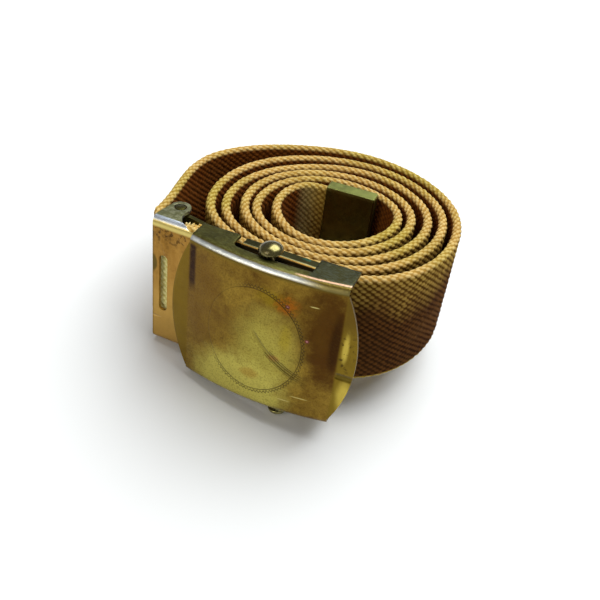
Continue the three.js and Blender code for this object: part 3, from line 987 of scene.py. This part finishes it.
def lay_wings(brass, x, y, ragged, fine):
    """A plain tone on both wings, then the right wing's painted reflections, its pits, painted
    shade on its top, and its dent. Gives the dent back, so that it can be pressed in."""
    edge = FACE["half_width"]
    wing = brass.ease(brass.calculate("ABSOLUTE", x), edge - 0.3, edge + 0.7)
    on_right = brass.ease(x, -1, 1)
    brass.lay(brass.mix(on_right, tone(116, 92, 28), tone(124, 102, 30)), wing, 0.85)
    right_wing = brass.times(wing, on_right)
    # painted reflections on the right wing
    for centre, radii in WING_PAINTED_REFLECTIONS:
        painted_highlight = ragged_spot(brass, x, y, ragged, centre, radii, 0.0, 0.7, 0.8, 0.4)
        brass.lay(tone(198, 174, 74), painted_highlight, right_wing)
    pitted = brass.ease(brass.spot(x, y, *WING_PITS), 0, 0.5)
    brass.lay(tone(84, 66, 22), brass.ease(fine, 0.54, 0.66), pitted, right_wing)
    # painted shade on the right wing's top
    brass.lay(tone(96, 72, 26), right_wing, brass.ease(y, 6.0, 13.0), 0.8)
    across = brass.ease(brass.away(y, WING_DENT[0][1]), 0.3, 1.2, 1, 0)
    dent = brass.times(across, brass.ease(brass.spot(x, y, *WING_DENT), 0, 0.4))
    brass.lay(tone(74, 62, 20), dent, 0.6)
    return dent


def lay_crease_and_flanges(brass, x, y, fine):
    """A dark streak down the left crease, a lighter band under the upper bend, a painted highlight
    along the bend, and dark flanges: the upper one painted as a reflection of the dim room, with a
    thin pink line at its right."""
    height = FACE["half_height"]
    crease = brass.ease(brass.away(x, 1.0 - FACE["half_width"]), 0.4, 1.3, 1, 0)
    ends = brass.times(brass.ease(y, 4.5, 9.0), brass.ease(y, 17.5, 18.4, 1, 0))
    brass.lay(tone(40, 20, 12), crease, ends, brass.ease(fine, 0.3, 0.5, 0.75, 1.0), 0.95)
    brass.lay(tone(124, 106, 46), brass.ease(y, height - 1.3, height - 0.7), 0.8)
    # painted highlight: a blue-white line along the upper bend, cream towards the right
    line = brass.plus(y, brass.times(brass.ease(x, 6.0, 16.0), 0.3))
    line = brass.ease(brass.away(line, height - 0.25), 0.1, 0.5, 1, 0)
    painted_highlight = brass.mix(brass.ease(x, 6.0, 14.0), tone(236, 242, 242), tone(196, 180, 112))
    brass.lay(painted_highlight, line, brass.ease(x, 8.0, 16.0, 1, 0.75))
    # the upper flange painted dark olive as a reflection of the dim room, bluish at the right end
    streaky = brass.noise(brass.mapped(brass.place(), (900, 3600, 900), turn=0.1), 1.0, 3)
    olive = brass.mix(brass.ease(streaky, 0.4, 0.65), tone(82, 78, 36), tone(98, 96, 52))
    bluish = brass.mix(brass.ease(streaky, 0.42, 0.6), tone(64, 62, 34), tone(74, 76, 58))
    upper = brass.ease(y, height + 0.05, height + 0.35)
    brass.lay(brass.mix(brass.ease(x, 8.5, 10.0), olive, bluish), upper)
    pink = brass.ease(brass.away(y, height + 0.4), 0.04, 0.16, 1, 0)
    brass.lay(tone(214, 168, 138), pink, brass.ease(x, 6.0, 8.0, 0, 0.55))
    brass.lay(tone(84, 80, 44), brass.ease(y, -height - 0.6, -height + 0.2, 1, 0))


# %% [markdown]
# ## The face's marks
# A thin scribed ring with a row of small teeth outside it is nearly rubbed away at the left. A
# curved dent crosses it, with scratches beside it. They are lines at a fixed distance from a
# centre, so they stay sharp however close the camera comes.

# %% Ring, dent and scratches
RING = {"centre": (-0.9, -0.6), "radii": (11.6, 14.4), "teeth": 92}
TEETH = {"from": 1.022, "depth": 0.085}     # in shares of the ring's radius
DENT = {"centre": (20.5, 16.0), "radius": 25.6, "width": 0.7, "shown": ((4.1, -2.4), (8.5, 7.5))}
SCRATCHES = ((-0.9, 0.16), (-0.35, 0.13), (0.3, 0.2), (0.8, 0.12))     # from the dent, width
SCRATCHED = ((6.7, -5.6), (6.5, 5.2))
LONG_SCRATCHES = (((11.6, -13.4), 2.6), ((12.2, 13.6), 1.3), ((8.0, -15.3), 2.0))


def ring_marks(brass, x, y):
    """A line where the scaled distance from the ring's centre is 1, and a saw line outside it
    whose distance rises and falls with the angle."""
    dx, dy = brass.scaled(x, y, RING["centre"], RING["radii"])
    far = brass.length(dx, dy)
    line = brass.ease(brass.away(far, 1.0), 0.004, 0.013, 1, 0)
    angle = brass.calculate("ARCTAN2", dy, dx)
    tooth = brass.calculate("PINGPONG", brass.times(angle, RING["teeth"] / (2 * math.pi)), 0.5)
    saw_at = brass.plus(brass.times(tooth, TEETH["depth"]), TEETH["from"])
    saw = brass.ease(brass.away(far, saw_at), 0.005, 0.016, 1, 0)
    worn = brass.ease(brass.minus(dx, brass.times(dy, 0.3)), -1.0, -0.2)
    line = brass.times(line, brass.ease(worn, 0, 1, 0.4, 1))
    return brass.larger(line, brass.times(saw, worn))


def arc_marks(brass, x, y, radius, width, shown):
    """A line at one distance from the dent's far centre, shown only inside an ellipse."""
    dx, dy = (brass.minus(value, centre) for value, centre in zip((x, y), DENT["centre"]))
    line = brass.ease(brass.away(brass.length(dx, dy), radius), width * 0.3, width, 1, 0)
    return brass.times(line, brass.ease(brass.spot(x, y, *shown), 0, 0.35))


def lay_marks(brass, x, y):
    """The ring, the dent, its scratches and three bright ones. Gives the depth of the others."""
    ring = ring_marks(brass, x, y)
    brass.lay(tone(56, 42, 16), ring, 0.68)
    dent = arc_marks(brass, x, y, DENT["radius"], DENT["width"], DENT["shown"])
    brass.lay(tone(92, 74, 26), dent, 0.3)
    scratches = 0.0
    for step, width in SCRATCHES:
        scratch = arc_marks(brass, x, y, DENT["radius"] + step, width, SCRATCHED)
        scratches = brass.larger(scratches, scratch)
    brass.lay(tone(62, 48, 16), scratches, 0.5)
    for centre, half_length in LONG_SCRATCHES:
        line = brass.ease(brass.spot(x, y, centre, (half_length, 0.2)), 0, 0.5)
        brass.lay(tone(206, 190, 116), line, 0.7)
    return brass.plus(brass.larger(ring, scratches), brass.times(dent, 2.0))


def face_finish():
    """Old brass, then the face's tones, among them painted reflections, a painted shadow and a
    painted highlight, and its marks. The marks, the dents and a fine grain are pressed in as well."""
    brass = old_brass(
        "brass", tone(142, 114, 42), tone(114, 86, 30), tone(88, 60, 18), skin_share=0.35, soft=0.3)
    x, y, _ = brass.split(brass.place("UV"))
    place = brass.place()
    ragged = brass.noise(place, 260, 5, 0.7)
    fine = brass.noise(place, 900, 3, 0.7)
    grain = brass.noise(place, 2600, 2, 0.6)
    lay_patches(brass, x, y, ragged, fine)
    brass.lay(tone(72, 50, 14), brass.ease(grain, 0.48, 0.64, 0, 0.32))
    wing_dent = lay_wings(brass, x, y, ragged, fine)
    lay_crease_and_flanges(brass, x, y, fine)
    depth = brass.plus(lay_marks(brass, x, y), brass.times(grain, 0.8))
    brass.press_in(brass.plus(depth, brass.times(wing_dent, 4.0)))
    return brass.done()


put_on(face_finish(), buckle_face)

# %% [markdown]
# ## The clamp, the jaw and the strap's tip
# These pieces are bent and cut sheet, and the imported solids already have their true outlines. So
# each is copied, its loose triangles are joined, and its edges are rounded a little. The copy
# gets a map that counts millimetres along the buckle and up, so that a mark can be put in place.

# %% Joined copies
def joined_copy(node, name, body, bevel):
    """A frame node's triangles with their shared corners joined, and its edges rounded."""
    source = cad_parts[node].data
    corners = np.empty(len(source.polygons) * 3, np.int64)
    source.polygons.foreach_get("vertices", corners)
    level = cad_points(node) @ LEAN - LEVEL_SHIFT
    points, place = np.unique(np.round(level, 4), axis=0, return_inverse=True)
    faces = place.ravel()[corners].reshape(-1, 3)
    whole = (faces != np.roll(faces, 1, axis=1)).all(axis=1)
    along, behind, up = (points - BUCKLE).T
    uv = np.stack((along, up), axis=1)
    piece = new_piece(name, points, faces[whole], body, uv=uv, numbers={"behind": behind})
    finish_edges(piece, bevel=bevel)
    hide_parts(node)
    return piece


clamp_channel = joined_copy("clamp_frame", "clamp_channel", BELT, 0.14)
jaw_plate = joined_copy("clamp_jaw", "jaw_plate", BELT, 0.1)
tip_sleeve = joined_copy("end_tip", "tip_sleeve", BELT, 0.06)
for piece in (clamp_channel, jaw_plate, tip_sleeve):
    print(piece.name, len(piece.data.polygons), "triangles before rounding")

# %% [markdown]
# The clamp has lost most of its yellow and shows a coppery brown with painted highlights along its
# bend, dark pits near the top, an olive patch at its left edge and crossed dents near the foot.
# Its ear is worn grey, and green crust sits on the tongue beside the bar's slot. The tongue's lip
# carries a painted highlight, and the inside of the slot is painted dark as shade.

# %% Clamp finish
CLAMP_DENTS = (                # centre, half sizes and slant of each dent near the foot, mm
    ((-26.2, -10.5), (3.4, 0.35), -0.5),
    ((-27.5, -12.6), (3.0, 0.3), 0.6),
    ((-25.4, -13.8), (2.4, 0.3), -0.9),
)
OLIVE_PATCH = ((-31.5, 5.4), (1.7, 3.0))
CRUST = ((7.2, 5.9), (0.5, 1.5))      # behind the face and along it


def lay_clamp_wall(brass, x, y, fine):
    """Copper low down, pits near the top, the olive patch, the dents and a dark left edge. Gives
    the pits and the dents back, so that they can be pressed in."""
    brass.lay(tone(196, 158, 82), brass.ease(y, 4.0, -8.0, 0, 0.6))
    pits = brass.times(brass.ease(fine, 0.5, 0.62), brass.ease(y, 9.0, 14.5))
    pits = brass.times(pits, brass.ease(y, 15.2, 16.2, 0.8, 0))
    brass.lay(tone(62, 40, 16), pits)
    brass.lay(tone(84, 72, 30), brass.ease(brass.spot(x, y, *OLIVE_PATCH), 0.0, 0.3), 0.85)
    dents = 0.0
    for centre, radii, slant in CLAMP_DENTS:
        along = brass.plus(x, brass.times(y, slant))
        dents = brass.larger(dents, brass.ease(brass.spot(along, y, centre, radii), 0, 0.5))
    brass.lay(tone(206, 170, 104), dents, 0.5)
    brass.lay(tone(92, 74, 34), brass.ease(x, -31.3, -30.7, 1, 0), 0.6)
    return pits, dents


def lay_clamp_top(brass, x, y, fine):
    """Two painted highlight bands along the bend, then the grey ear, the dark tongue with a painted
    highlight on its lip and green crust, and painted shade inside the bar's slot. Gives the crust
    back."""
    behind = brass.number("behind")
    bend = brass.ease(x, -18, -15, 1, 0)
    # painted highlights: a cream band and a blue-white band along the bend
    brass.lay(tone(214, 196, 116), brass.ease(y, 15.4, 16.1), bend, 0.85)
    brass.lay(tone(214, 222, 232), brass.ease(y, 17.0, 17.6), bend)
    top = brass.ease(y, 18.02, 18.08)
    grey = brass.mix(brass.ease(fine, 0.4, 0.6), tone(176, 176, 136), tone(140, 140, 96))
    brass.lay(grey, top, brass.ease(x, -20, -16, 1, 0))
    tongue = brass.times(top, brass.ease(x, -12, -10))
    brass.lay(tone(64, 62, 34), tongue)
    # painted highlight on the tongue's front lip
    brass.lay(tone(190, 184, 130), tongue, brass.ease(behind, 5.2, 5.9, 1, 0), 0.8)
    crust = brass.ease(brass.spot(behind, x, *CRUST), 0.0, 0.6)
    crust = brass.times(brass.times(crust, brass.ease(fine, 0.46, 0.56)), top)
    brass.lay(tone(30, 124, 104), crust, 0.8)
    # painted shade inside the bar's slot
    in_slot = brass.times(brass.ease(y, 12.0, 15.0), brass.ease(y, 17.9, 18.02, 1, 0))
    brass.lay(tone(34, 26, 12), in_slot, brass.ease(x, -14, -12))
    return crust


def clamp_finish():
    """Coppery old brass under the marks of the wall and the top. The crust is rough."""
    brass = old_brass(
        "copper_brass", tone(172, 130, 62), tone(146, 106, 44), tone(104, 72, 26),
        skin_share=0.25, soft=0.3)
    x, y, _ = brass.split(brass.place("UV"))
    fine = brass.noise(brass.place(), 900, 3, 0.6)
    pits, dents = lay_clamp_wall(brass, x, y, fine)
    crust = lay_clamp_top(brass, x, y, fine)
    brass.roughness = brass.plus(brass.roughness, brass.times(crust, 0.4))
    brass.press_in(brass.plus(pits, brass.times(dents, 1.5)))
    return brass.done()


put_on(clamp_finish(), clamp_channel)

# %% [markdown]
# The jaw lies in the clamp's shadow and has kept an even dark skin. The tip has the same skin, but
# it is bright olive green along its upper edge.

# %% Jaw and tip finishes
TIP_TOP = (cad_points("end_tip") @ LEAN - LEVEL_SHIFT)[:, 2].max()


def dark_finish():
    """Brass under an even olive-black skin."""
    brass = old_brass(
        "dark_brass", tone(104, 98, 44), tone(80, 74, 30), tone(48, 42, 16), soft=0.3)
    return brass.done()


def tip_finish():
    """A lighter skin on the strap's tip, bright olive green along its upper edge."""
    brass = old_brass(
        "tip_brass", tone(132, 124, 56), tone(108, 100, 40), tone(76, 68, 26), soft=0.3)
    _, height, _ = brass.split(brass.place("UV"))
    brass.lay(tone(150, 156, 84), brass.ease(height, TIP_TOP - 1.2, TIP_TOP - 0.3))
    return brass.done()


put_on(dark_finish(), jaw_plate)
put_on(tip_finish(), tip_sleeve)

# %% [markdown]
# ## The roller bar
# A plain rod with a domed head at each end. It is a lathe shape: one profile turned round the
# rod's axis. It rides on its own body, because it slides along the slots.

# %% Roller bar
ROD_RADIUS = 1.2
TOP_HEAD = {"radius": 2.8, "height": 2.2}
LOW_HEAD = {"radius": 2.4, "height": 1.9}
HEAD_RIM = 0.3
BAR_TOP = np.array((-0.85, 2.5, 20.5))
BAR_BOTTOM = np.array((5.3, 2.2, -22.7))
LATHE_STEPS = 64


def head_profile(radius, height):
    """Radius against height, from the pole down: a dome, its short rim and the rod's start."""
    bend = np.linspace(0, math.pi / 2, 14)
    under = (radius, radius - 0.15, ROD_RADIUS + 0.25, ROD_RADIUS)
    around = np.concatenate((radius * np.sin(bend), under))
    up = np.concatenate((HEAD_RIM + (height - HEAD_RIM) * np.cos(bend), (0.12, 0.0, 0.0, -0.25)))
    return around, up


def make_roller_bar():
    """The profile turned round the line between the two heads, closed at both poles."""
    axis = BAR_TOP - BAR_BOTTOM
    length = np.linalg.norm(axis)
    axis = axis / length
    side = np.cross(axis, (0, 1, 0))
    side /= np.linalg.norm(side)
    front = np.cross(axis, side)
    top_radius, top_height = head_profile(**TOP_HEAD)
    low_radius, low_height = head_profile(**LOW_HEAD)
    radius = np.concatenate((top_radius, low_radius[::-1]))
    height = np.concatenate((length / 2 + top_height, -length / 2 - low_height[::-1]))
    turn = np.linspace(0, 2 * math.pi, LATHE_STEPS, endpoint=False)[:, None]
    circle = np.cos(turn) * side + np.sin(turn) * front
    rings = radius[1:-1, None, None] * circle + height[1:-1, None, None] * axis
    poles = [height[0] * axis, height[-1] * axis]
    points = np.concatenate((rings.reshape(-1, 3), poles)) + (BAR_TOP + BAR_BOTTOM) / 2
    rows = len(radius) - 2
    quads = grid_quads(rows, LATHE_STEPS, closed_columns=True)
    first = np.arange(LATHE_STEPS)
    last = first + (rows - 1) * LATHE_STEPS
    pole = np.full(LATHE_STEPS, rows * LATHE_STEPS)
    top_fan = np.stack((np.roll(first, -1), first, pole), axis=1)
    low_fan = np.stack((last, np.roll(last, -1), pole + 1), axis=1)
    faces = quads.tolist() + top_fan.tolist() + low_fan.tolist()
    piece = new_piece("bar_with_heads", points + BUCKLE, faces, BAR)
    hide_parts("roller_bar")
    return piece


def handled_finish():
    """Greenish brass with little skin, and a thin coat that gives the heads their shine."""
    brass = old_brass(
        "handled_brass", tone(160, 152, 88), tone(118, 108, 52), tone(66, 56, 24),
        skin_share=0.25, rough=0.24)
    brass.shader.inputs["Coat Weight"].default_value = 0.8
    brass.shader.inputs["Coat Roughness"].default_value = 0.2
    return brass.done()


put_on(handled_finish(), make_roller_bar())
print("bar from", np.round(BAR_BOTTOM, 1), "to", np.round(BAR_TOP, 1))

# %% [markdown]
# ## The studio
# The belt stands on a white table under one large soft light from above and behind, a little cool,
# as from a window. A weak warm light fills the front. The surroundings are dim, so that the metal
# has something dark to reflect beside the white table.

# %% Studio
def table_top(half=1.5):
    """A flat square at height 0."""
    mesh = bpy.data.meshes.new("table_top")
    corners = [(-half, -half, 0), (half, -half, 0), (half, half, 0), (-half, half, 0)]
    mesh.from_pydata(corners, [], [(0, 1, 2, 3)])
    floor = bpy.data.objects.new("table_top", mesh)
    bpy.context.scene.collection.objects.link(floor)
    white = Finish("white_table")
    white.colour = (0.93, 0.93, 0.92, 1)
    white.roughness = 0.8
    put_on(white.done(), floor)
    return floor


def soft_light(name, place, size, watts, colour):
    """A square area light at place, turned to face the belt."""
    data = bpy.data.lights.new(name, "AREA")
    data.size = size
    data.energy = watts
    data.color = colour
    light = bpy.data.objects.new(name, data)
    bpy.context.scene.collection.objects.link(light)
    light.location = place
    light.rotation_mode = "QUATERNION"
    light.rotation_quaternion = light.location.to_track_quat("Z", "Y")
    return light


def dim_room(strength):
    """An even white surrounding of low strength."""
    world = bpy.data.worlds.new("room")
    world.use_nodes = True
    background = world.node_tree.nodes["Background"]
    background.inputs["Color"].default_value = (1, 1, 1, 1)
    background.inputs["Strength"].default_value = strength
    bpy.context.scene.world = world


table_top()
soft_light("window", (0.06, 0.34, 0.74), 0.8, 9.5, (0.93, 0.97, 1.0))
soft_light("front_fill", (-0.35, -0.7, 0.5), 0.4, 1.6, (1.0, 0.93, 0.80))
dim_room(0.22)
bpy.context.scene.view_settings.view_transform = "Standard"
